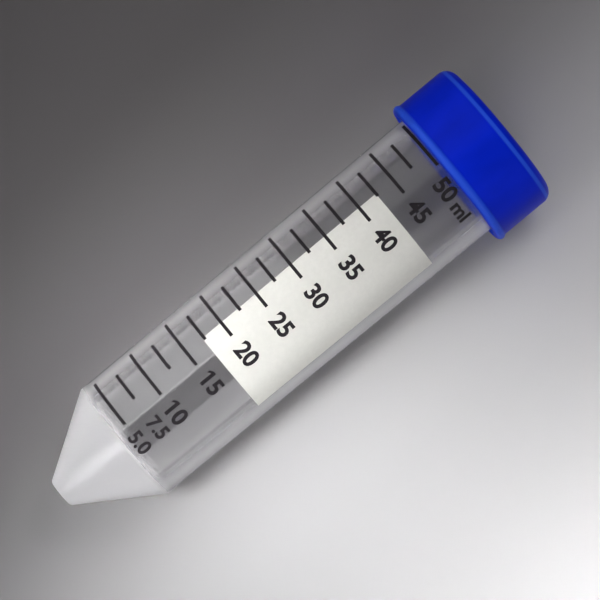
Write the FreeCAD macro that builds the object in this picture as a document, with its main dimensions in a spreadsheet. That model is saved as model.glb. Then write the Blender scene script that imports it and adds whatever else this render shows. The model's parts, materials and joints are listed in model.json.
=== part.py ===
"""A 50 ml conical tube with its screw cap, lying on its side as it comes to rest.

Each sub-part is modelled along its own Z axis, which is the tube's axis with the tip at zero.
Its Placement then lays it down along +X, the tip at the -X end. The tube touches the ground with
the round edge of its shoulder and with the bead of its cap, which is wider, so the axis rises
towards the cap by a small angle that is worked out from those two.
"""

import FreeCAD
import Part
import Sketcher
import os

# Driving dimensions, in millimetres, degrees and millilitres.
DIMENSIONS = (
    ("cone_length", 16.9, "tip to shoulder"),
    ("barrel_length", 86.0, "shoulder to the foot of the neck"),
    ("neck_length", 12.5, "straight stretch that carries the thread, up to the rim"),
    ("barrel_radius", 14.5, "outside, at the foot of the neck and along it"),
    ("draft_angle", 0.366, "the barrel narrows by this towards the shoulder"),
    ("tip_radius", 3.1, "flat end of the cone, before rounding"),
    ("wall", 1.05, "barrel and neck"),
    ("cone_wall", 1.2, "square to the cone"),
    ("floor_thickness", 1.6, "at the very tip"),
    ("tip_rounding", 0.9, "outer edge of the flat tip"),
    ("shoulder_rounding", 1.0, "where cone and barrel meet outside"),
    ("hollow_rounding", 1.2, "edges inside, at the shoulder and at the floor"),
    ("rim_rounding", 0.3, "both edges of the rim"),
    ("seam_turn", 90.0, "wall sections round the axis from upright, so that their seam is at the side"),
    ("thread_depth", 0.85, "height of the thread on the neck"),
    ("thread_clearance", 0.3, "thread crest to the bore of the cap"),
    ("rim_gap", 0.2, "rim to the underside of the crown"),
    ("cap_wall", 1.5, "skirt"),
    ("crown_thickness", 2.2, "flat end of the cap"),
    ("crown_rounding", 2.6, "outer edge of the crown"),
    ("bead_height", 0.4, "how far the bead stands out of the skirt"),
    ("bead_length", 2.0, "along the axis, from the open edge"),
    ("bead_rounding", 0.5, "outer edge of the bead at the open end"),
    ("bead_step_rounding", 0.25, "outer edge of the bead on the skirt's side"),
    ("bore_chamfer", 0.4, "lead-in at the open edge of the cap"),
    ("plug_gap", 0.3, "plug ring to the inside of the mouth"),
    ("plug_wall", 1.0, "thickness of the plug ring"),
    ("plug_length", 2.5, "how far the plug ring reaches below the crown"),
    ("plug_rounding", 0.35, "free edges of the plug ring"),
    ("ink", 0.05, "thickness of one layer of print"),
    ("patch_foot", 26.3, "shoulder to the writing patch"),
    ("patch_top", 13.8, "writing patch to the foot of the neck"),
    ("patch_sweep", 82.0, "how far the patch reaches round the barrel"),
    ("patch_turn", 15.7, "middle of the patch, round the axis from straight up"),
    ("mark_width", 0.7, "one graduation line"),
    ("long_mark_sweep", 56.0, "how far every second line reaches round"),
    ("short_mark_sweep", 32.0, "how far the lines between reach round"),
    ("mark_turn", -38.5, "middle of the lines, round the axis from straight up"),
    ("first_mark", 5.0, "volume at the lowest line, in millilitres"),
    ("mark_step", 2.5, "volume from line to line, in millilitres"),
)

# Sizes worked out from the driving ones.
FORMULAS = (
    ("barrel_slope", "tan(dimensions.draft_angle)"),
    ("shoulder_radius", "dimensions.barrel_radius - dimensions.barrel_length * barrel_slope"),
    ("cone_slope", "(shoulder_radius - dimensions.tip_radius) / dimensions.cone_length"),
    ("neck_foot", "dimensions.cone_length + dimensions.barrel_length"),
    ("tube_length", "neck_foot + dimensions.neck_length"),
    ("mouth_radius", "dimensions.barrel_radius - dimensions.wall"),
    ("cone_offset", "dimensions.cone_wall / cos(atan(cone_slope))"),
    ("floor_radius", "dimensions.tip_radius - cone_offset + dimensions.floor_thickness * cone_slope"),
    ("hollow_shoulder_height",
     "(shoulder_radius - dimensions.cone_length * barrel_slope - dimensions.wall"
     " - dimensions.tip_radius + cone_offset) / (cone_slope - barrel_slope)"),
    ("hollow_shoulder_radius",
     "dimensions.tip_radius - cone_offset + hollow_shoulder_height * cone_slope"),
    ("cone_volume",
     "pi / 3 * (hollow_shoulder_height - dimensions.floor_thickness)"
     " * (floor_radius ^ 2 + floor_radius * hollow_shoulder_radius + hollow_shoulder_radius ^ 2)"),
    ("bore_radius",
     "dimensions.barrel_radius + dimensions.thread_depth + dimensions.thread_clearance"),
    ("skirt_radius", "bore_radius + dimensions.cap_wall"),
    ("bead_radius", "skirt_radius + dimensions.bead_height"),
    ("bore_depth", "dimensions.neck_length + dimensions.rim_gap"),
    ("cap_height", "bore_depth + dimensions.crown_thickness"),
    ("plug_radius", "mouth_radius - dimensions.plug_gap"),
    ("plug_hollow_radius", "plug_radius - dimensions.plug_wall"),
    ("plug_edge", "bore_depth - dimensions.plug_length"),
    ("patch_start", "dimensions.cone_length + dimensions.patch_foot"),
    ("patch_end", "neck_foot - dimensions.patch_top"),
    # The two roundings that touch the ground: the middle of each arc, along the axis and from it.
    ("shoulder_arc_height",
     "dimensions.cone_length + dimensions.shoulder_rounding"
     " * (1 / cos(atan(cone_slope)) - 1 / cos(dimensions.draft_angle)) / (cone_slope - barrel_slope)"),
    ("shoulder_arc_radius",
     "shoulder_radius + (shoulder_arc_height - dimensions.cone_length) * barrel_slope"
     " - dimensions.shoulder_rounding / cos(dimensions.draft_angle)"),
    ("bead_arc_height", "neck_foot + dimensions.bead_rounding"),
    ("bead_arc_radius", "bead_radius - dimensions.bead_rounding"),
    ("arc_run", "bead_arc_height - shoulder_arc_height"),
    ("arc_rise", "bead_arc_radius - shoulder_arc_radius"),
    ("rest_tilt",
     "(atan(arc_rise / arc_run) + asin((dimensions.bead_rounding - dimensions.shoulder_rounding)"
     " / sqrt(arc_run ^ 2 + arc_rise ^ 2))) / 1 deg"),
    # The tip of the axis as it lies: above the ground, and left of the middle of the whole length.
    ("tip_z",
     "shoulder_arc_radius * cos(rest_tilt) + dimensions.shoulder_rounding"
     " - shoulder_arc_height * sin(rest_tilt)"),
    ("tip_arc_radius",
     "dimensions.tip_radius - dimensions.tip_rounding * tan((90 deg - atan(cone_slope)) / 2)"),
    ("left_reach",
     "dimensions.tip_rounding * (1 - cos(rest_tilt)) + tip_arc_radius * sin(rest_tilt)"),
    ("right_reach",
     "(neck_foot + cap_height - dimensions.crown_rounding) * cos(rest_tilt)"
     " + (skirt_radius - dimensions.crown_rounding) * sin(rest_tilt) + dimensions.crown_rounding"),
    ("tip_x", "(left_reach - right_reach) / 2"),
)


def fill_sheets(doc):
    """The driving dimensions in one sheet and the worked-out sizes in another."""
    sheet = doc.addObject("Spreadsheet::Sheet", "dimensions")
    for row, (alias, value, meaning) in enumerate(DIMENSIONS, start=1):
        sheet.set(f"A{row}", alias)
        sheet.set(f"B{row}", str(value))
        sheet.setAlias(f"B{row}", alias)
        sheet.set(f"C{row}", meaning)
    doc.recompute()
    derived = doc.addObject("Spreadsheet::Sheet", "derived")
    for row, (alias, formula) in enumerate(FORMULAS, start=1):
        derived.set(f"A{row}", alias)
        derived.set(f"B{row}", f"={formula}")
        derived.setAlias(f"B{row}", alias)
    doc.recompute()
    return sheet, derived


def number(obj, expression):
    """What an expression comes to, as a plain number."""
    return float(obj.evalExpression(expression))


def new_body(doc, label):
    body = doc.addObject("PartDesign::Body", label)
    body.Label = label
    return body


def section_sketch(body, name, turn):
    """A sketch on the plane through the body's axis, turned about that axis from straight up."""
    plane = next(item for item in body.Origin.OriginFeatures if item.Role == "XZ_Plane")
    sketch = body.newObject("Sketcher::SketchObject", name)
    sketch.AttachmentSupport = [(plane, "")]
    sketch.MapMode = "FlatFace"
    sketch.AttachmentOffset.Rotation = FreeCAD.Rotation(FreeCAD.Vector(0, 1, 0), 0)
    sketch.setExpression("AttachmentOffset.Rotation.Angle", turn)
    return sketch


def add_loop(sketch, name, corners):
    """A closed loop of straight lines through corners given as (radius, height) expressions."""
    places = [[number(sketch, part) for part in corner] for corner in corners]
    first = sketch.GeometryCount
    for start, end in zip(places, places[1:] + places[:1]):
        sketch.addGeometry(Part.LineSegment(FreeCAD.Vector(*start), FreeCAD.Vector(*end)))
    for index, (place, corner) in enumerate(zip(places, corners)):
        line = first + index
        following = first + (index + 1) % len(corners)
        sketch.addConstraint(Sketcher.Constraint("Coincident", line, 2, following, 1))
        for kind, axis, value, expression in zip(("DistanceX", "DistanceY"), (-2, -1), place, corner):
            if expression == "0":
                sketch.addConstraint(Sketcher.Constraint("PointOnObject", line, 1, axis))
            else:
                made = sketch.addConstraint(Sketcher.Constraint(kind, -1, 1, line, 1, value))
                sketch.renameConstraint(made, f"{name}_{kind[-1]}{index}")
                sketch.setExpression(f"Constraints.{name}_{kind[-1]}{index}", expression)


def revolve(body, sketch, name, sweep="360"):
    """The sketch turned about the body's axis, half of the sweep to each side."""
    feature = body.newObject("PartDesign::Revolution", name)
    feature.Profile = sketch
    feature.ReferenceAxis = (sketch, ["V_Axis"])
    feature.Midplane = True
    feature.setExpression("Angle", sweep)
    body.Document.recompute()
    return feature


def round_edges(body, kind, name, size, rings):
    """Fillet or chamfer the round edges that lie at these (radius, height) expressions."""
    base = body.Tip
    wanted = [[number(body, part) for part in ring] for ring in rings]
    edges = []
    for index, edge in enumerate(base.Shape.Edges, start=1):
        if isinstance(edge.Curve, Part.Circle):
            ring = (edge.Curve.Radius, edge.Curve.Center.z)
            if any(max(abs(ring[0] - r), abs(ring[1] - h)) < 1e-4 for r, h in wanted):
                edges.append(f"Edge{index}")
    if len(edges) < len(rings):
        raise RuntimeError(f"{name}: found {len(edges)} of {len(rings)} edges")
    feature = body.newObject(f"PartDesign::{kind}", name)
    feature.Base = (base, edges)
    feature.setExpression("Radius" if kind == "Fillet" else "Size", size)
    body.Document.recompute()
    return feature


def lay_down(part, height="0"):
    """Turn the axis from +Z to +X, tilt it to its rest and put this height on it in its place."""
    part.Placement.Rotation = FreeCAD.Rotation(FreeCAD.Vector(0, 1, 0), 90)
    part.setExpression("Placement.Rotation.Angle", "90 - derived.rest_tilt")
    part.setExpression("Placement.Base.x", f"derived.tip_x + ({height}) * cos(derived.rest_tilt)")
    part.setExpression("Placement.Base.z", f"derived.tip_z + ({height}) * sin(derived.rest_tilt)")


def make_tube(doc):
    """Blunt tip, cone, drafted barrel and straight neck in one moulding of even wall."""
    body = new_body(doc, "tube")
    sketch = section_sketch(body, "tube_section", "dimensions.seam_turn")
    add_loop(sketch, "wall", (
        ("0", "0"),
        ("dimensions.tip_radius", "0"),
        ("derived.shoulder_radius", "dimensions.cone_length"),
        ("dimensions.barrel_radius", "derived.neck_foot"),
        ("dimensions.barrel_radius", "derived.tube_length"),
        ("derived.mouth_radius", "derived.tube_length"),
        ("derived.mouth_radius", "derived.neck_foot"),
        ("derived.hollow_shoulder_radius", "derived.hollow_shoulder_height"),
        ("derived.floor_radius", "dimensions.floor_thickness"),
        ("0", "dimensions.floor_thickness"),
    ))
    revolve(body, sketch, "tube_turned")
    round_edges(body, "Fillet", "tip_edge", "dimensions.tip_rounding", (
        ("dimensions.tip_radius", "0"),
    ))
    round_edges(body, "Fillet", "shoulder_edge", "dimensions.shoulder_rounding", (
        ("derived.shoulder_radius", "dimensions.cone_length"),
    ))
    round_edges(body, "Fillet", "hollow_edges", "dimensions.hollow_rounding", (
        ("derived.hollow_shoulder_radius", "derived.hollow_shoulder_height"),
        ("derived.floor_radius", "dimensions.floor_thickness"),
    ))
    round_edges(body, "Fillet", "rim_edges", "dimensions.rim_rounding", (
        ("dimensions.barrel_radius", "derived.tube_length"),
        ("derived.mouth_radius", "derived.tube_length"),
    ))
    lay_down(body)
    return body


def make_cap(doc):
    """Skirt with a bead at its open edge, flat crown and a plug ring that fits in the mouth."""
    body = new_body(doc, "cap")
    sketch = section_sketch(body, "cap_section", "dimensions.seam_turn")
    add_loop(sketch, "wall", (
        ("derived.bore_radius", "0"),
        ("derived.bead_radius", "0"),
        ("derived.bead_radius", "dimensions.bead_length"),
        ("derived.skirt_radius", "dimensions.bead_length"),
        ("derived.skirt_radius", "derived.cap_height"),
        ("0", "derived.cap_height"),
        ("0", "derived.bore_depth"),
        ("derived.plug_hollow_radius", "derived.bore_depth"),
        ("derived.plug_hollow_radius", "derived.plug_edge"),
        ("derived.plug_radius", "derived.plug_edge"),
        ("derived.plug_radius", "derived.bore_depth"),
        ("derived.bore_radius", "derived.bore_depth"),
    ))
    revolve(body, sketch, "cap_turned")
    round_edges(body, "Fillet", "crown_edge", "dimensions.crown_rounding", (
        ("derived.skirt_radius", "derived.cap_height"),
    ))
    round_edges(body, "Fillet", "bead_edge", "dimensions.bead_rounding", (
        ("derived.bead_radius", "0"),
    ))
    round_edges(body, "Fillet", "bead_step", "dimensions.bead_step_rounding", (
        ("derived.bead_radius", "dimensions.bead_length"),
    ))
    round_edges(body, "Fillet", "plug_edges", "dimensions.plug_rounding", (
        ("derived.plug_radius", "derived.plug_edge"),
        ("derived.plug_hollow_radius", "derived.plug_edge"),
    ))
    round_edges(body, "Chamfer", "bore_edge", "dimensions.bore_chamfer", (
        ("derived.bore_radius", "0"),
    ))
    lay_down(body, "derived.neck_foot")
    return body


def on_barrel(height, layers="0"):
    """The point of the barrel's outside at this height, raised by layers of ink."""
    radius = (f"derived.shoulder_radius + ({height} - dimensions.cone_length) * derived.barrel_slope"
              f" + {layers} * dimensions.ink")
    return radius, height


def add_print(sketch, name, bottom, top, layers):
    """The section of a printed field that lies on the barrel from one height to another."""
    add_loop(sketch, name, (
        on_barrel(bottom),
        on_barrel(bottom, layers),
        on_barrel(top, layers),
        on_barrel(top),
    ))


def turned_up(turn):
    """A turn from straight up, as the sketch takes it: its plane starts out pointing down."""
    return f"180 + dimensions.{turn}"


def make_patch(doc):
    """The white field to write on."""
    body = new_body(doc, "writing_patch")
    sketch = section_sketch(body, "patch_section", turned_up("patch_turn"))
    add_print(sketch, "patch", "derived.patch_start", "derived.patch_end", "1")
    revolve(body, sketch, "patch_turned", "dimensions.patch_sweep")
    lay_down(body)
    return body


def level(volume):
    """The height on the axis to which this many millilitres fill the tube, above its cone."""
    return ("(derived.hollow_shoulder_height + ((derived.hollow_shoulder_radius ^ 3"
            f" + 3 * derived.barrel_slope * ({volume} * 1000 - derived.cone_volume) / pi) ^ (1 / 3)"
            " - derived.hollow_shoulder_radius) / derived.barrel_slope)")


def marked_volumes(sheet, derived):
    """The volumes that have a line: as many as fit between the shoulder and the cap."""
    volume = number(sheet, "first_mark")
    volumes = []
    while number(derived, level(volume)) < number(derived, "neck_foot"):
        volumes.append(volume)
        volume += number(sheet, "mark_step")
    return volumes


def make_marks(doc, volumes, patch):
    """Black lines with their upper edges at the levels, every second one long.

    Where they cross the patch they lie on it.
    """
    body = new_body(doc, "printed_lines")
    for name, sweep, chosen in (
        ("long", "dimensions.long_mark_sweep", volumes[0::2]),
        ("short", "dimensions.short_mark_sweep", volumes[1::2]),
    ):
        sketch = section_sketch(body, f"{name}_sections", turned_up("mark_turn"))
        for index, volume in enumerate(chosen):
            top = level(volume)
            add_print(sketch, f"line{index}", f"{top} - dimensions.mark_width", top, "2")
        revolve(body, sketch, f"{name}_turned", sweep)
    lay_down(body)
    marks = doc.addObject("Part::Cut", "graduation_marks")
    marks.Label = "graduation_marks"
    marks.Base = body
    marks.Tool = patch
    return marks


def check_and_export(doc, parts):
    """Stop at anything that failed to build, then write one STEP file for each sub-part."""
    doc.recompute()
    for item in doc.Objects:
        if "Invalid" in item.State or "Error" in item.State:
            raise RuntimeError(f"{item.Name} failed: {item.State}")
    for part in parts:
        if part.Shape.isNull() or not part.Shape.isValid():
            raise RuntimeError(f"{part.Label} has no valid shape")
    os.makedirs("parts", exist_ok=True)
    for part in parts:
        part.Shape.exportStep(f"parts/{part.Label}.step")
        print(f"{part.Label}: {len(part.Shape.Solids)} solids, {part.Shape.Volume:.2f} mm3")


def main():
    doc = FreeCAD.newDocument("conical_tube")
    sheet, derived = fill_sheets(doc)
    tube = make_tube(doc)
    cap = make_cap(doc)
    patch = make_patch(doc)
    marks = make_marks(doc, marked_volumes(sheet, derived), patch)
    check_and_export(doc, (tube, cap, patch, marks))


main()
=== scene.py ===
import json
import math

import bmesh
import bpy
from mathutils import Matrix, Vector


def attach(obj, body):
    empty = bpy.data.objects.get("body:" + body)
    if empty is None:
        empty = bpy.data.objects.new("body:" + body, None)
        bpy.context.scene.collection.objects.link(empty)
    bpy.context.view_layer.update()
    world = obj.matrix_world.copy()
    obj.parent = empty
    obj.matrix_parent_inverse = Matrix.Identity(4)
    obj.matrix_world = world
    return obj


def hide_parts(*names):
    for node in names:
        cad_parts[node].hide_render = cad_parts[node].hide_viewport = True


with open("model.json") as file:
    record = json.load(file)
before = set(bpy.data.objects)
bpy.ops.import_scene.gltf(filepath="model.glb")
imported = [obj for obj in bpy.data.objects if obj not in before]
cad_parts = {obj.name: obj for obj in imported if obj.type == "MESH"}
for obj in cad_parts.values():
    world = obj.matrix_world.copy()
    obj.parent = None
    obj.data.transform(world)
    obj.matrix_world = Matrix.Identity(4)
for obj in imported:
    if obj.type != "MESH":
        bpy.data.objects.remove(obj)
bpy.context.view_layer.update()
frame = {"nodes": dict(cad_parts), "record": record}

bl_info = {
    "name": "Conical Tube",
    "version": (1, 0, 0),
    "blender": (4, 5, 0),
    "location": "View3D > Sidebar > Conical Tube",
    "description": "Builds a 50 ml conical tube with its screw cap, print, floor and lights",
    "category": "Object",
}

MM = 0.001

# Meshing
AROUND = 160               # steps of a full turn
ARC_STEP = 12              # degrees of a rounding to one face
RINGS_PER_MM = 8           # where a thread rises
NEAR_WALL = 0.2 * MM       # how near an edge lies to a straight wall to belong to it
ON_WALL = 0.05 * MM        # how near a point lies to a wall to be lifted with its thread
CRISP = math.radians(50)   # sharper corners than this stay crisp
MERGE = 1e-6

# Thread, as shares of its pitch and in turns
ROOT_SHARE = 0.30          # half of the ridge's width at its root
CREST_SHARE = 0.10         # half of its width at its crest
RUN_OUT = 0.12             # turns over which it rises at each end

# Numbers
SUNK = 0.4                 # share of a layer by which the numbers reach into what they lie on
LETTER_CUT = 0.3 * MM      # width of the strips that bend round the barrel
LETTER_MERGE = 1e-5
STROKE_MIDDLE = (0.10, 0.595)     # of the slanted stroke of a 1, in heights of the letters
STROKE_RUN, STROKE_RISE = 0.16, 0.11
STROKE_THICKNESS = 0.12

# Finish
PLASTIC_IOR = 1.49
INK_IOR = 1.5
MOST_NOISE = (0.3, 0.7)           # where most of the noise's values lie
CORE_NOISE = (0.35, 0.65)

SENSOR = 36                # millimetres
CLIP = (0.05, 20)          # metres

# The lamps. angle: degrees round the axis from straight up. distance, along: from the middle of
# the view, out from the axis and along it. faces: the point that it faces, sideways and along the
# axis from there. size: along the axis and across it, or the other way round with across=True.
# All in metres, and power in watts.
LAMPS = {
    "key_panel": dict(
        angle=-12, distance=0.30, along=-0.13, faces=(0, -0.032), across=True,
        size=(0.12, 0.07), power=0.0275, beam=22, mirrored=False),
    "cap_key": dict(
        angle=-13, distance=0.36, along=0.20, across=True,
        size=(0.12, 0.10), power=0.44, mirrored=False),
    "far_panel": dict(
        angle=-42, distance=0.50, along=0.01, size=(0.26, 0.56), power=0.32),
    "far_shine": dict(
        angle=-50, distance=0.50, along=-0.145, faces=(0, -0.145),
        size=(0.25, 0.72), power=2.2, lights=False),
    "edge_strip": dict(
        angle=-17, distance=0.50, along=-0.11, faces=(0, -0.11),
        size=(0.25, 0.02), power=0.06, lights=False),
    "near_panel": dict(
        angle=42, distance=0.50, along=-0.10, size=(0.20, 0.20), power=0.34, mirrored=False),
    "near_shine": dict(
        angle=61, distance=0.50, along=-0.10, faces=(0, -0.10),
        size=(0.25, 0.48), power=1.15, lights=False),
    "tip_light": dict(
        angle=-4, distance=0.21, along=-0.45, across=True, size=(0.10, 0.20), power=0.50),
    "floor_wash": dict(
        angle=45, distance=0.45, along=0.03, faces=(0.125, 0.022),
        size=(0.12, 0.06), power=0.050, beam=18, mirrored=False),
    "far_wash": dict(
        angle=-45, distance=0.45, along=0.06, faces=(-0.10, 0.06),
        size=(0.12, 0.06), power=0.012, beam=20, mirrored=False),
}


def length(name, description, millimetres, low=0.0):
    """A length in metres, given here in millimetres."""
    return bpy.props.FloatProperty(
        name=name, description=description, default=millimetres * MM, min=low, precision=5,
        unit="LENGTH")


def turn(name, description, degrees):
    """An angle, given here in degrees."""
    return bpy.props.FloatProperty(
        name=name, description=description, default=math.radians(degrees), subtype="ANGLE")


def share(name, description, value):
    """A number from 0 to 1."""
    return bpy.props.FloatProperty(
        name=name, description=description, default=value, min=0.0, max=1.0, subtype="FACTOR")


def tint(name, description, colour):
    """A linear colour."""
    return bpy.props.FloatVectorProperty(
        name=name, description=description, default=colour, min=0.0, max=1.0, size=3,
        subtype="COLOR")


class TubeSettings(bpy.types.PropertyGroup):
    """Sizes and finish of the moulded tube."""
    cone_length: length("Cone", "Tip to shoulder", 16.9)
    barrel_length: length("Barrel", "Shoulder to the foot of the neck", 86.0)
    neck_length: length("Neck", "Straight stretch with the thread", 12.5)
    barrel_radius: length("Radius", "Outside of the barrel at the foot of the neck", 14.5)
    draft: turn("Draft", "The barrel narrows by this towards the shoulder", 0.366)
    tip_radius: length("Tip radius", "Flat end of the cone", 3.1)
    wall: length("Wall", "Barrel and neck", 1.05)
    cone_wall: length("Cone wall", "Square to the cone", 1.2)
    floor: length("Floor", "Thickness at the tip", 1.6)
    tip_rounding: length("Tip rounding", "Outer edge of the flat tip", 0.9)
    shoulder_rounding: length("Shoulder rounding", "Outside, where cone and barrel meet", 1.0)
    hollow_rounding: length("Hollow rounding", "Edges inside", 1.2)
    rim_rounding: length("Rim rounding", "Both edges of the rim", 0.3)
    pitch: length("Thread pitch", "Rise of the thread in one turn", 3.2, 0.0005)
    thread_height: length("Thread height", "Ridge above the neck", 0.8)
    thread_start: length("Thread start", "Foot of the neck to the first ridge", 2.1)
    thread_turns: bpy.props.FloatProperty(
        name="Thread turns", description="Turns of the ridge", default=2.4, min=0.5, max=4.0)
    colour: tint("Colour", "Plastic of the tube", (0.975, 0.965, 0.985))
    haze: share("Haze", "Milkiness of the barrel", 0.025)
    frost: share("Frost", "Milkiness of the cone", 0.30)
    edge_milk: share("Edge milk", "Added where the wall is seen edge on", 0.42)
    frost_fade: length("Frost fade", "Above the shoulder, over which the frost ends", 2.2)
    passing: share("Passing", "Light that goes straight through one wall", 0.82)


class CapSettings(bpy.types.PropertyGroup):
    """Sizes and finish of the screw cap."""
    rim_gap: length("Rim gap", "Rim of the tube to the underside of the crown", 0.2)
    crown: length("Crown", "Thickness of the flat end", 2.2)
    crown_rounding: length("Crown rounding", "Outer edge of the crown", 2.6)
    bore_radius: length("Bore radius", "Inside of the skirt", 15.65)
    skirt: length("Skirt", "Thickness of the skirt", 1.5)
    bead_height: length("Bead height", "How far the bead stands out", 0.4)
    bead_length: length("Bead length", "Along the axis", 2.0)
    bead_rounding: length("Bead rounding", "Outer edge at the open end", 1.2)
    bead_slope: length("Bead slope", "From the bead down to the skirt, along the axis", 0.7)
    slope_rounding: length("Slope rounding", "Both edges of the slope", 0.5)
    bore_chamfer: length("Bore chamfer", "Lead-in at the open edge", 0.4)
    plug_radius: length("Plug radius", "Outside of the plug ring", 13.15)
    plug_wall: length("Plug wall", "Thickness of the plug ring", 1.0)
    plug_length: length("Plug length", "How far the plug ring reaches down", 2.5)
    plug_rounding: length("Plug rounding", "Free edges of the plug ring", 0.35)
    thread_height: length("Thread height", "Ridge out of the bore", 0.8)
    colour: tint("Colour", "Plastic of the cap", (0.0022, 0.027, 0.90))
    # A painted highlight: this lighter blue is painted on the bead and round the crown's rounding.
    painted_highlight: tint("Painted highlight", "Plastic on the bead and round the crown", (0.030, 0.120, 1.0))


class PrintSettings(bpy.types.PropertyGroup):
    """Sizes and inks of the print."""
    ink: length("Ink", "Thickness of one layer", 0.05)
    figure_height: length("Figure height", "Numbers from 10 up", 3.8)
    small_figure_height: length("Small figure height", "The two numbers by the cone", 3.2)
    figure_width: length("Figure width", "Two figures side by side, round the barrel", 4.75)
    unit_height: length("Unit height", "The letters ml", 3.0)
    unit_width: length("Unit width", "The letters ml, round the barrel", 4.4)
    figure_turn: turn("Figure turn", "Where the numbers begin, round from straight up", -0.4)
    unit_turn: turn("Unit turn", "Where the letters begin, round from straight up", 23.0)
    top_figure_drop: length("Top figure drop", "The number by the cap, below its line", 1.9)
    boldness: share("Boldness", "How far the strokes are widened", 0.03)
    first_volume: bpy.props.FloatProperty(
        name="First volume", description="Millilitres at the lowest line", default=5.0)
    volume_step: bpy.props.FloatProperty(
        name="Volume step", description="Millilitres from line to line", default=2.5)
    white: tint("White", "Ink of the writing patch", (0.85, 0.84, 0.79))
    black: tint("Black", "Ink of the lines and numbers", (0.022, 0.019, 0.022))


class StageSettings(bpy.types.PropertyGroup):
    """Floor, lights and camera."""
    floor_size: length("Floor size", "Half of the floor's side", 4000.0)
    far_tone: tint("Far tone", "Floor well beyond the tube", (0.102, 0.096, 0.099))
    dark_tone: tint("Dark tone", "Floor just beyond the tube", (0.170, 0.161, 0.166))
    pale_tone: tint("Pale tone", "Floor on the near side", (0.63, 0.62, 0.63))
    grade_turn: turn("Grade turn", "Of the floor's tones, against the length of the tube", -4.0)
    far_start: length("Far start", "Beyond the tube, where the far tone sets in", 18.0)
    far_end: length("Far end", "Beyond the tube, from where the far tone is full", 58.0)
    pale_start: length("Pale start", "Beyond the tube, where the pale tone sets in", 26.0)
    pale_end: length("Pale end", "Before the tube, from where the pale tone is full", 38.0)
    sky: tint("Sky", "Light from all round", (0.75, 0.76, 0.80))
    sky_strength: share("Sky strength", "How bright it is", 0.03)
    distance: length("Distance", "Camera to the axis of the tube", 800.0)
    view_width: length("View width", "What the camera sees across at the axis", 123.84)
    aim: length("Aim", "Tip to the middle of the view, along the axis", 63.5)
    drop: length("Drop", "Axis to the middle of the view, sideways", 0.64)
    slant: turn("Slant", "Axis of the tube against the lower edge of the view", 39.6)


def mount(name):
    """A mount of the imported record."""
    return next(item for item in frame["record"]["mounts"] if item["name"] == name)


def settings():
    """The settings of the scene."""
    scene = bpy.context.scene
    return scene.tube_settings, scene.cap_settings, scene.print_settings, scene.stage_settings


def heights():
    """Heights on the axis: foot of the neck, rim of the tube, underside and top of the crown."""
    tube, cap, _, _ = settings()
    neck_foot = tube.cone_length + tube.barrel_length
    rim = neck_foot + tube.neck_length
    return neck_foot, rim, rim + cap.rim_gap, rim + cap.rim_gap + cap.crown


def lying():
    """From the tube's own frame to the row's: z is the axis from the tip, x points up from it."""
    top = mount("cap_top")
    axis = Vector(top["axis"]).normalized()
    side = Vector((0.0, -1.0, 0.0))
    tip = Vector(top["pos_m"]) - axis * heights()[3]
    matrix = Matrix((side.cross(axis), side, axis)).transposed().to_4x4()
    return Matrix.Translation(tip) @ matrix


def barrel_surface(height):
    """Outer radius of the barrel at a height."""
    tube = settings()[0]
    return tube.barrel_radius - (heights()[0] - height) * math.tan(tube.draft)


def new_piece(name, bm, material):
    """A shown object with its place in its mesh."""
    mesh = bpy.data.meshes.new(name)
    bm.to_mesh(mesh)
    bm.free()
    mesh.materials.append(material)
    piece = bpy.data.objects.new(name, mesh)
    bpy.context.scene.collection.objects.link(piece)
    return piece


def wall_section(bm, corners):
    """A chain of edges through corners (radius, height, rounding) in the plane of x and z."""
    verts = [bm.verts.new((radius, 0.0, height)) for radius, height, _ in corners]
    for start, end in zip(verts, verts[1:]):
        bm.edges.new((start, end))
    for index in range(1, len(corners) - 1):
        rounding = corners[index][2]
        if not rounding:
            continue
        here = verts[index].co
        before, after = (
            edge.other_vert(verts[index]).co - here for edge in verts[index].link_edges)
        bend = math.pi - before.angle(after)
        bmesh.ops.bevel(
            bm, geom=[verts[index]], offset=rounding * math.tan(bend / 2), offset_type="ABSOLUTE",
            segments=max(3, round(math.degrees(bend) / ARC_STEP)), profile=0.5, affect="VERTICES",
            material=-1, clamp_overlap=False)


def cut_rings(bm, low, high, radius, rings):
    """Divide the straight edge between two heights at this radius."""
    for edge in bm.edges:
        ends = [vert.co for vert in edge.verts]
        near = all(abs(end.x - radius) < NEAR_WALL for end in ends)
        spans = min(end.z for end in ends) < low and max(end.z for end in ends) > high
        if near and spans:
            bmesh.ops.subdivide_edges(bm, edges=[edge], cuts=rings)
            return
    raise RuntimeError("no straight edge to divide here")


def spin_wall(bm):
    """Turn the section into a closed body round the z axis."""
    bmesh.ops.spin(
        bm, geom=bm.verts[:] + bm.edges[:], cent=(0, 0, 0), axis=(0, 0, 1), angle=math.tau,
        steps=AROUND, use_merge=True)
    bmesh.ops.remove_doubles(bm, verts=bm.verts[:], dist=MERGE)
    bmesh.ops.recalc_face_normals(bm, faces=bm.faces[:])


def smooth(value):
    """An even rise from 0 to 1."""
    value = min(max(value, 0.0), 1.0)
    return value * value * (3 - 2 * value)


def raise_thread(bm, radius, start, turns, pitch, height):
    """Lift a helical ridge out of a wall; a negative height lifts it towards the axis."""
    root, crest = ROOT_SHARE * pitch, CREST_SHARE * pitch
    for vert in bm.verts:
        across = math.hypot(vert.co.x, vert.co.y)
        if abs(across - radius) > ON_WALL:
            continue
        part = math.atan2(vert.co.y, vert.co.x) / math.tau
        turned = part + round((vert.co.z - start) / pitch - part)
        beside = abs(vert.co.z - start - turned * pitch)
        if not 0 <= turned <= turns or beside >= root:
            continue
        lift = height * min(1.0, (root - beside) / (root - crest))
        lift *= smooth(turned / RUN_OUT) * smooth((turns - turned) / RUN_OUT)
        vert.co.x *= (across + lift) / across
        vert.co.y *= (across + lift) / across


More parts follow.
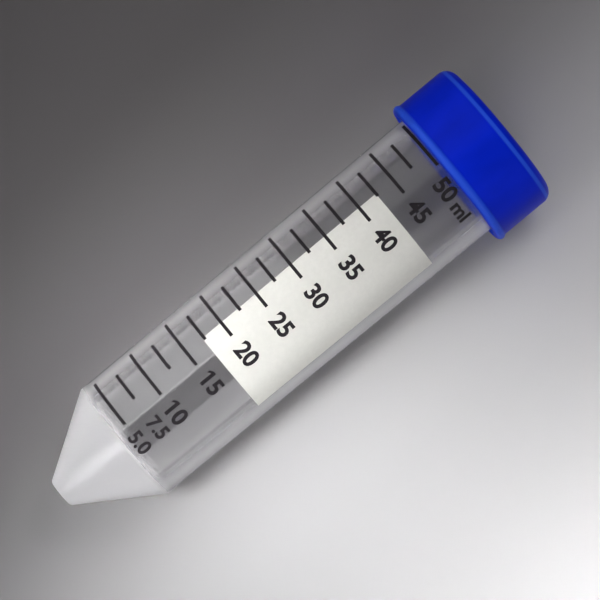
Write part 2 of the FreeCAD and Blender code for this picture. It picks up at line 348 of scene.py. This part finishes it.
def finish_wall(bm):
    """Even shading, crisp only at true corners, and the wall in its place."""
    for face in bm.faces:
        face.smooth = True
    for edge in bm.edges:
        edge.smooth = edge.calc_face_angle(0.0) < CRISP
    bmesh.ops.transform(bm, matrix=lying(), verts=bm.verts[:])


class Nodes:
    """A material's node tree, built from the output back."""

    def __init__(self, name):
        self.material = bpy.data.materials.new(name)
        self.material.use_nodes = True
        self.tree = self.material.node_tree
        self.tree.nodes.clear()
        self.output = self.add("ShaderNodeOutputMaterial")

    def add(self, kind, inputs=(), **options):
        """A node with its options and its inputs: values, or sockets to link."""
        node = self.tree.nodes.new(kind)
        for key, value in options.items():
            setattr(node, key, value)
        for key, value in dict(inputs).items():
            if isinstance(value, bpy.types.NodeSocket):
                self.tree.links.new(value, node.inputs[key])
            else:
                node.inputs[key].default_value = value
        return node

    def place(self, scale=(1, 1, 1)):
        """Object coordinates in the tube's own frame, scaled along its axes."""
        where = self.add("ShaderNodeTexCoord").outputs["Object"]
        matrix = lying()
        own = self.add("ShaderNodeMapping", {
            "Vector": where,
            "Location": matrix.translation,
            "Rotation": matrix.to_euler(),
        }, vector_type="TEXTURE")
        stretched = self.add("ShaderNodeMapping", {
            "Vector": own.outputs["Vector"], "Scale": scale})
        return stretched.outputs["Vector"]

    def noise(self, scale, stretch=(1, 1, 1), detail=3.0, rough=0.5):
        """Soft noise from 0 to 1."""
        return self.add("ShaderNodeTexNoise", {
            "Vector": self.place(stretch), "Scale": scale, "Detail": detail, "Roughness": rough,
        }).outputs["Fac"]

    def spread(self, value, low, high, to_low, to_high, kind="LINEAR"):
        """Map a value from one range to another."""
        return self.add("ShaderNodeMapRange", {
            "Value": value, "From Min": low, "From Max": high, "To Min": to_low, "To Max": to_high,
        }, interpolation_type=kind).outputs["Result"]

    def band(self, value, middle, reach):
        """1 near the middle of a range, falling softly to 0 at its ends."""
        off = self.math("ABSOLUTE", self.math("SUBTRACT", value, middle), 0.0)
        core = 0.35 * reach
        return self.spread(off, core, reach, 1, 0, "SMOOTHSTEP")

    def math(self, operation, first, second):
        """One sum of two values."""
        return self.add("ShaderNodeMath", {0: first, 1: second}, operation=operation).outputs[0]

    def mix(self, factor, first, second):
        """Mix of two colours."""
        node = self.add("ShaderNodeMix", data_type="RGBA")
        for socket, value in zip(
                (node.inputs[0], node.inputs[6], node.inputs[7]), (factor, first, second)):
            if isinstance(value, bpy.types.NodeSocket):
                self.tree.links.new(value, socket)
            else:
                socket.default_value = value
        return node.outputs[2]

    def bump(self, height, strength, distance):
        """A bumped normal."""
        return self.add("ShaderNodeBump", {
            "Height": height, "Strength": strength, "Distance": distance,
        }).outputs["Normal"]


def opaque(colour):
    """A colour with full alpha."""
    return (*colour, 1.0)


def clear_plastic():
    """Hazy see-through plastic, frosted on the cone, with faint flow streaks along the axis."""
    tube = settings()[0]
    nodes = Nodes("clear_polypropylene")
    height = nodes.add("ShaderNodeSeparateXYZ", {0: nodes.place()}).outputs["Z"]
    cone = nodes.spread(height, tube.cone_length, tube.cone_length + tube.frost_fade, 1, 0,
                        "SMOOTHSTEP")
    cloud = nodes.noise(260.0, (1, 1, 0.5))
    streaks = nodes.noise(420.0, (1, 1, 0.05), detail=2.0)
    grain = nodes.noise(5200.0, detail=1.0)
    milk = nodes.spread(cone, 0, 1, tube.haze, tube.frost)
    milk = nodes.math("MULTIPLY", milk, nodes.spread(cloud, *MOST_NOISE, 0.85, 1.15))
    milk = nodes.math("ADD", milk, nodes.spread(streaks, *CORE_NOISE, -0.005, 0.006))
    # Seen aslant, the wall turns milky over the first range and shuts light out over the second.
    aslant = nodes.add("ShaderNodeLayerWeight", {"Blend": 0.5}).outputs["Facing"]
    milky, shut = (0.16, 0.60), (0.42, 0.80)
    edge = nodes.spread(aslant, *milky, 0, tube.edge_milk, "SMOOTHSTEP")
    milk = nodes.math("ADD", milk, edge)
    barrel_rough, cone_rough = 0.10, 0.30
    rough = nodes.spread(cone, 0, 1, barrel_rough, cone_rough)
    rough = nodes.math("ADD", rough, nodes.spread(streaks, *CORE_NOISE, -0.01, 0.015))
    ripple = nodes.bump(streaks, strength=0.004, distance=0.2 * MM)
    barrel_grain, cone_grain = 0.02, 0.25
    normal = nodes.add("ShaderNodeBump", {
        "Height": grain,
        "Strength": nodes.spread(cone, 0, 1, barrel_grain, cone_grain),
        "Distance": 0.05 * MM,
        "Normal": ripple,
    }).outputs["Normal"]
    body = nodes.add("ShaderNodeBsdfPrincipled", {
        "Base Color": opaque(tube.colour),
        "Roughness": rough,
        "IOR": PLASTIC_IOR,
        "Transmission Weight": nodes.math("SUBTRACT", 1.0, milk),
        "Normal": normal,
    })
    passing = nodes.add("ShaderNodeBsdfTransparent", {"Color": opaque([tube.passing] * 3)})
    path = nodes.add("ShaderNodeLightPath").outputs
    straight = nodes.math("MAXIMUM", path["Is Shadow Ray"], path["Is Diffuse Ray"])
    through = nodes.spread(aslant, *shut, 1, 0, "SMOOTHSTEP")
    through = nodes.math("MULTIPLY", through, nodes.math("SUBTRACT", 1.0, milk))
    light = nodes.add("ShaderNodeMixShader", {
        0: nodes.math("MULTIPLY", straight, through),
        1: body.outputs[0], 2: passing.outputs[0]})
    nodes.tree.links.new(light.outputs[0], nodes.output.inputs["Surface"])
    return nodes.material


def blue_plastic():
    """Satin moulded plastic in one colour, with a fine grain and faint flow shading, and a painted
    highlight: a lighter blue on the bead and round the crown.
    """
    cap = settings()[1]
    nodes = Nodes("blue_polypropylene")
    flow = nodes.noise(130.0, (1, 1, 0.4))
    grain = nodes.noise(6500.0, detail=2.0)
    deep = [0.80 * channel for channel in cap.colour]
    plain = nodes.mix(nodes.spread(flow, *MOST_NOISE, 0, 1), opaque(deep), opaque(cap.colour))
    height = nodes.add("ShaderNodeSeparateXYZ", {0: nodes.place()}).outputs["Z"]
    foot, _, _, top = heights()
    # Painted highlight: narrow bands on the bead and on the crown's rounding take the lighter blue.
    bead = nodes.band(height, foot + cap.bead_length / 2, 1.1 * MM)
    crown = nodes.band(height, top - 0.65 * cap.crown_rounding, 0.6 * MM)
    painted_highlight = nodes.math("MAXIMUM", bead, crown)
    body = nodes.add("ShaderNodeBsdfPrincipled", {
        "Base Color": nodes.mix(painted_highlight, plain, opaque(cap.painted_highlight)),
        "Roughness": nodes.spread(flow, *MOST_NOISE, 0.36, 0.44),
        "IOR": PLASTIC_IOR,
        "Specular IOR Level": 0.06,
        "Normal": nodes.bump(grain, strength=0.12, distance=0.04 * MM),
    })
    nodes.tree.links.new(body.outputs[0], nodes.output.inputs["Surface"])
    return nodes.material


def ink(name, colour, thin, roughness, gloss, lets_through=0.0):
    """Print, a little uneven in its cover, which lets a share of the light through."""
    rougher = 0.08
    nodes = Nodes(name)
    cover = nodes.noise(900.0, detail=4.0, rough=0.6)
    grain = nodes.noise(7000.0, detail=2.0)
    body = nodes.add("ShaderNodeBsdfPrincipled", {
        "Base Color": nodes.mix(
            nodes.spread(cover, *CORE_NOISE, 0, 1), opaque(colour), opaque(thin)),
        "Roughness": nodes.spread(cover, *MOST_NOISE, roughness, roughness + rougher),
        "IOR": INK_IOR,
        "Specular IOR Level": gloss,
        "Normal": nodes.bump(grain, strength=0.15, distance=0.02 * MM),
    })
    passing = nodes.add("ShaderNodeBsdfTransparent")
    shadow = nodes.add("ShaderNodeLightPath").outputs["Is Shadow Ray"]
    light = nodes.add("ShaderNodeMixShader", {
        0: nodes.math("MULTIPLY", shadow, lets_through), 1: body.outputs[0], 2: passing.outputs[0]})
    nodes.tree.links.new(light.outputs[0], nodes.output.inputs["Surface"])
    return nodes.material


def shown_with(node, material):
    """Give a node of the frame its finish."""
    piece = frame["nodes"][node]
    if not piece.material_slots:
        piece.data.materials.append(material)
    for slot in piece.material_slots:
        slot.material = material


class MakeTube(bpy.types.Operator):
    """Turn the tube with its cone, drafted barrel and threaded neck"""
    bl_idname = "conical_tube.make_tube"
    bl_label = "Tube"

    def execute(self, context):
        tube = settings()[0]
        neck_foot, rim, _, _ = heights()
        slope = (barrel_surface(tube.cone_length) - tube.tip_radius) / tube.cone_length
        inset = tube.cone_wall * math.hypot(1, slope)
        draft = math.tan(tube.draft)
        bend = (barrel_surface(0) - tube.wall - tube.tip_radius + inset) / (slope - draft)
        mouth = tube.barrel_radius - tube.wall
        bm = bmesh.new()
        wall_section(bm, (
            (0, 0, 0),
            (tube.tip_radius, 0, tube.tip_rounding),
            (barrel_surface(tube.cone_length), tube.cone_length, tube.shoulder_rounding),
            (tube.barrel_radius, neck_foot, 0),
            (tube.barrel_radius, rim, tube.rim_rounding),
            (mouth, rim, tube.rim_rounding),
            (mouth, neck_foot, 0),
            (tube.tip_radius - inset + bend * slope, bend, tube.hollow_rounding),
            (tube.tip_radius - inset + tube.floor * slope, tube.floor, tube.hollow_rounding),
            (0, tube.floor, 0),
        ))
        cut_rings(bm, neck_foot + MM, rim - MM, tube.barrel_radius,
                  round(tube.neck_length / MM * RINGS_PER_MM))
        spin_wall(bm)
        raise_thread(bm, tube.barrel_radius, neck_foot + tube.thread_start, tube.thread_turns,
                     tube.pitch, tube.thread_height)
        finish_wall(bm)
        piece = new_piece("moulded_tube", bm, clear_plastic())
        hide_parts("tube")
        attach(piece, "tube_body")
        return {"FINISHED"}


class MakeCap(bpy.types.Operator):
    """Turn the screw cap with its bead, plug ring and inner thread"""
    bl_idname = "conical_tube.make_cap"
    bl_label = "Cap"

    def execute(self, context):
        tube, cap, _, _ = settings()
        foot, _, under, top = heights()
        skirt = cap.bore_radius + cap.skirt
        bead = skirt + cap.bead_height
        plug_hollow = cap.plug_radius - cap.plug_wall
        bm = bmesh.new()
        wall_section(bm, (
            (0, top, 0),
            (skirt, top, cap.crown_rounding),
            (skirt, foot + cap.bead_length, cap.slope_rounding),
            (bead, foot + cap.bead_length - cap.bead_slope, cap.slope_rounding),
            (bead, foot, cap.bead_rounding),
            (cap.bore_radius + cap.bore_chamfer, foot, 0),
            (cap.bore_radius, foot + cap.bore_chamfer, 0),
            (cap.bore_radius, under, 0),
            (cap.plug_radius, under, 0),
            (cap.plug_radius, under - cap.plug_length, cap.plug_rounding),
            (plug_hollow, under - cap.plug_length, cap.plug_rounding),
            (plug_hollow, under, 0),
            (0, under, 0),
        ))
        cut_rings(bm, foot + MM, under - MM, cap.bore_radius,
                  round(tube.neck_length / MM * RINGS_PER_MM))
        spin_wall(bm)
        raise_thread(bm, cap.bore_radius, foot + tube.thread_start - tube.pitch / 2,
                     tube.thread_turns, tube.pitch, -cap.thread_height)
        finish_wall(bm)
        piece = new_piece("screw_cap", bm, blue_plastic())
        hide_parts("cap")
        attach(piece, "cap_body")
        return {"FINISHED"}


class FinishPrint(bpy.types.Operator):
    """Give the writing patch and the graduation lines their inks"""
    bl_idname = "conical_tube.finish_print"
    bl_label = "Patch and lines"

    def execute(self, context):
        inks = settings()[2]
        thin_white = [0.965 * channel for channel in inks.white]
        thin_black = [1.6 * channel for channel in inks.black]
        shown_with("writing_patch", ink(
            "white_print", inks.white, thin_white, roughness=0.20, gloss=0.22, lets_through=0.45))
        shown_with("graduation_marks", ink(
            "black_print", inks.black, thin_black, roughness=0.45, gloss=0.06))
        return {"FINISHED"}


def lying_heights(node):
    """Heights on the axis of a node's points, in order."""
    back = lying().inverted()
    return sorted((back @ vert.co).z for vert in frame["nodes"][node].data.vertices)


def line_heights():
    """The middle height of each graduation line, from the tip up."""
    points = lying_heights("graduation_marks")
    starts = [0] + [i for i in range(1, len(points)) if points[i] - points[i - 1] > MM]
    return [(points[a] + points[b - 1]) / 2 for a, b in zip(starts, starts[1:] + [len(points)])]


def lettering(text, bold):
    """Bold lettering as a closed mesh, one unit high and thick."""
    curve = bpy.data.curves.new("lettering", "FONT")
    curve.body = text
    curve.offset = bold
    curve.extrude = 0.5
    curve.resolution_u = 6
    carrier = bpy.data.objects.new("lettering", curve)
    bpy.context.scene.collection.objects.link(carrier)
    bpy.context.view_layer.update()
    mesh = bpy.data.meshes.new_from_object(
        carrier.evaluated_get(bpy.context.evaluated_depsgraph_get()))
    bm = bmesh.new()
    bm.from_mesh(mesh)
    bpy.data.objects.remove(carrier)
    bpy.data.curves.remove(curve)
    bpy.data.meshes.remove(mesh)
    bmesh.ops.remove_doubles(bm, verts=bm.verts[:], dist=LETTER_MERGE)
    if text.startswith("1"):      # the font's own 1 is a bare upright
        x, y = STROKE_MIDDLE
        slanted = Matrix((
            (STROKE_RUN, 0, 0, x),
            (STROKE_RISE, STROKE_THICKNESS, 0, y),
            (0, 0, 1, 0),
            (0, 0, 0, 1)))
        bmesh.ops.create_cube(bm, size=1, matrix=slanted)
    return bm


def reach(bm):
    """Lowest and highest coordinates of a mesh."""
    return [Vector([pick(vert.co[i] for vert in bm.verts) for i in range(3)])
            for pick in (min, max)]


def figures(text, model, width, tall, thick, bold):
    """Condensed lettering, at the scale at which the model text is this wide and tall."""
    model_bm = lettering(model, bold)
    low, high = reach(model_bm)
    model_bm.free()
    bm = lettering(text, bold)
    bmesh.ops.translate(bm, vec=-low, verts=bm.verts[:])
    bmesh.ops.scale(bm, verts=bm.verts[:], vec=(
        width / (high.x - low.x), tall / (high.y - low.y), thick / (high.z - low.z)))
    for step in range(1, math.ceil(reach(bm)[1].x / LETTER_CUT)):
        bmesh.ops.bisect_plane(
            bm, geom=bm.verts[:] + bm.edges[:] + bm.faces[:], dist=1e-7,
            plane_co=(step * LETTER_CUT, 0, 0), plane_no=(1, 0, 0))
    return bm


def wrap(bm, begin, middle, tall, base):
    """Lay flat lettering round the barrel from an angle, its middle at a height."""
    for vert in bm.verts:
        height = middle - tall / 2 + vert.co.y
        surface = barrel_surface(height)
        angle = begin + vert.co.x / surface
        radius = surface + base + vert.co.z
        vert.co = (radius * math.cos(angle), radius * math.sin(angle), height)


class MakeNumbers(bpy.types.Operator):
    """Print the numbers beside the graduation lines"""
    bl_idname = "conical_tube.make_numbers"
    bl_label = "Numbers"

    def execute(self, context):
        inks = settings()[2]
        lines = line_heights()
        patch = lying_heights("writing_patch")
        labels = []
        for index, middle in enumerate(lines):
            volume = inks.first_volume + index * inks.volume_step
            small = index < 2
            if not small and index % 2:
                continue
            top = index == len(lines) - 1
            text = f"{volume:.1f}" if small else f"{volume:.0f}"
            tall = inks.small_figure_height if small else inks.figure_height
            middle -= inks.top_figure_drop if top else 0
            labels.append((text, "5.0" if small else "50", inks.figure_width, tall,
                           inks.figure_turn, middle))
            if top:
                foot = middle - tall / 2
                labels.append(("ml", "ml", inks.unit_width, inks.unit_height, inks.unit_turn,
                               foot + inks.unit_height / 2))
        whole = bmesh.new()
        for text, model, width, tall, begin, middle in labels:
            on_patch = patch[0] < middle < patch[-1]
            bm = figures(text, model, width, tall, inks.ink * (1 + SUNK), inks.boldness)
            wrap(bm, begin, middle, tall, inks.ink * ((1 if on_patch else 0) - SUNK))
            part = bpy.data.meshes.new("part")
            bm.to_mesh(part)
            bm.free()
            whole.from_mesh(part)
            bpy.data.meshes.remove(part)
        bmesh.ops.transform(whole, matrix=lying(), verts=whole.verts[:])
        bmesh.ops.recalc_face_normals(whole, faces=whole.faces[:])
        piece = new_piece("graduation_numbers", whole, bpy.data.materials["black_print"])
        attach(piece, "tube_body")
        return {"FINISHED"}


def softbox(name, stand, angle, distance, along, size, power, faces=(0, 0), across=False,
            beam=180, mirrored=True, lights=True):
    """A flat light over the tube, itself unseen. Its mirror image or its light can be off."""
    middle, up, side, axis = stand
    angle = math.radians(angle)
    where = middle + (up * math.cos(angle) + side * math.sin(angle)) * distance + axis * along
    aim = middle + side * faces[0] + axis * faces[1]
    light = bpy.data.lights.new(name, "AREA")
    light.shape = "RECTANGLE"
    light.size, light.size_y = size
    light.energy = power
    light.spread = math.radians(beam)
    lamp = bpy.data.objects.new(name, light)
    lamp.location = where
    back = (where - aim).normalized()
    width = back.cross(side if across else axis).normalized()
    lamp.rotation_euler = Matrix((width.cross(back), width, back)).transposed().to_euler()
    lamp.visible_camera = False
    lamp.visible_transmission = False
    lamp.visible_glossy = mirrored
    lamp.visible_diffuse = lights
    bpy.context.scene.collection.objects.link(lamp)


def floor_finish():
    """Floor whose colour grades from dark grey beyond the tube to near white before it."""
    stage = settings()[3]
    nodes = Nodes("graded_floor")
    turned = nodes.add("ShaderNodeMapping", {
        "Vector": nodes.add("ShaderNodeTexCoord").outputs["Object"],
        "Rotation": (0, 0, stage.grade_turn)}).outputs["Vector"]
    across = nodes.add("ShaderNodeSeparateXYZ", {0: turned}).outputs["Y"]
    beyond = nodes.spread(across, stage.far_start, stage.far_end, 0, 1, "SMOOTHSTEP")
    before = nodes.spread(across, stage.pale_start, -stage.pale_end, 0, 1, "SMOOTHSTEP")
    dark = nodes.mix(beyond, opaque(stage.dark_tone), opaque(stage.far_tone))
    body = nodes.add("ShaderNodeBsdfPrincipled", {
        "Base Color": nodes.mix(before, dark, opaque(stage.pale_tone)),
        "Roughness": 0.75,
        "Specular IOR Level": 0.0,
    })
    nodes.tree.links.new(body.outputs[0], nodes.output.inputs["Surface"])
    return nodes.material


class MakeStage(bpy.types.Operator):
    """Lay the floor and set up the lights and the camera"""
    bl_idname = "conical_tube.make_stage"
    bl_label = "Floor, lights and camera"

    def execute(self, context):
        stage = settings()[3]
        scene = context.scene
        bm = bmesh.new()
        bmesh.ops.create_grid(bm, x_segments=8, y_segments=8, size=stage.floor_size)
        floor = new_piece("floor", bm, floor_finish())

        frame_of = lying()
        up, side, axis = (frame_of.col[i].to_3d() for i in range(3))
        aim = frame_of.translation + axis * stage.aim + side * stage.drop
        right = axis * math.cos(stage.slant) + side * math.sin(stage.slant)
        above = axis * math.sin(stage.slant) - side * math.cos(stage.slant)

        for name, lamp in LAMPS.items():
            softbox(name, (aim, up, side, axis), **lamp)

        world = bpy.data.worlds.new("studio")
        world.use_nodes = True
        sky = world.node_tree.nodes["Background"].inputs
        sky["Color"].default_value = opaque(stage.sky)
        sky["Strength"].default_value = stage.sky_strength
        scene.world = world

        camera = bpy.data.objects.new("camera", bpy.data.cameras.new("camera"))
        camera.data.sensor_width = SENSOR
        camera.data.lens = SENSOR * stage.distance / stage.view_width
        camera.data.clip_start, camera.data.clip_end = CLIP
        turned = Matrix((right, above, up)).transposed().to_4x4()
        camera.matrix_world = Matrix.Translation(aim + up * stage.distance) @ turned
        scene.collection.objects.link(camera)
        scene.camera = camera
        scene.view_settings.view_transform = "Standard"
        return {"FINISHED"}


class TubePanel(bpy.types.Panel):
    """The pieces of the tube, in the order in which they are made"""
    bl_idname = "VIEW3D_PT_conical_tube"
    bl_label = "Conical Tube"
    bl_space_type = "VIEW_3D"
    bl_region_type = "UI"
    bl_category = "Conical Tube"

    def draw(self, context):
        for operator in STEPS:
            self.layout.operator(operator.bl_idname)


STEPS = (MakeTube, MakeCap, FinishPrint, MakeNumbers, MakeStage)
GROUPS = {
    "tube_settings": TubeSettings,
    "cap_settings": CapSettings,
    "print_settings": PrintSettings,
    "stage_settings": StageSettings,
}


def register():
    """Make the settings, steps and panel known."""
    for item in (*GROUPS.values(), *STEPS, TubePanel):
        bpy.utils.register_class(item)
    for name, group in GROUPS.items():
        setattr(bpy.types.Scene, name, bpy.props.PointerProperty(type=group))


def unregister():
    """Take them away again."""
    for name in GROUPS:
        delattr(bpy.types.Scene, name)
    for item in (TubePanel, *reversed(STEPS), *reversed(GROUPS.values())):
        bpy.utils.unregister_class(item)


def main():
    """Build everything in order."""
    register()
    bpy.ops.conical_tube.make_tube()
    bpy.ops.conical_tube.make_cap()
    bpy.ops.conical_tube.finish_print()
    bpy.ops.conical_tube.make_numbers()
    bpy.ops.conical_tube.make_stage()


if __name__ == "__main__":
    main()
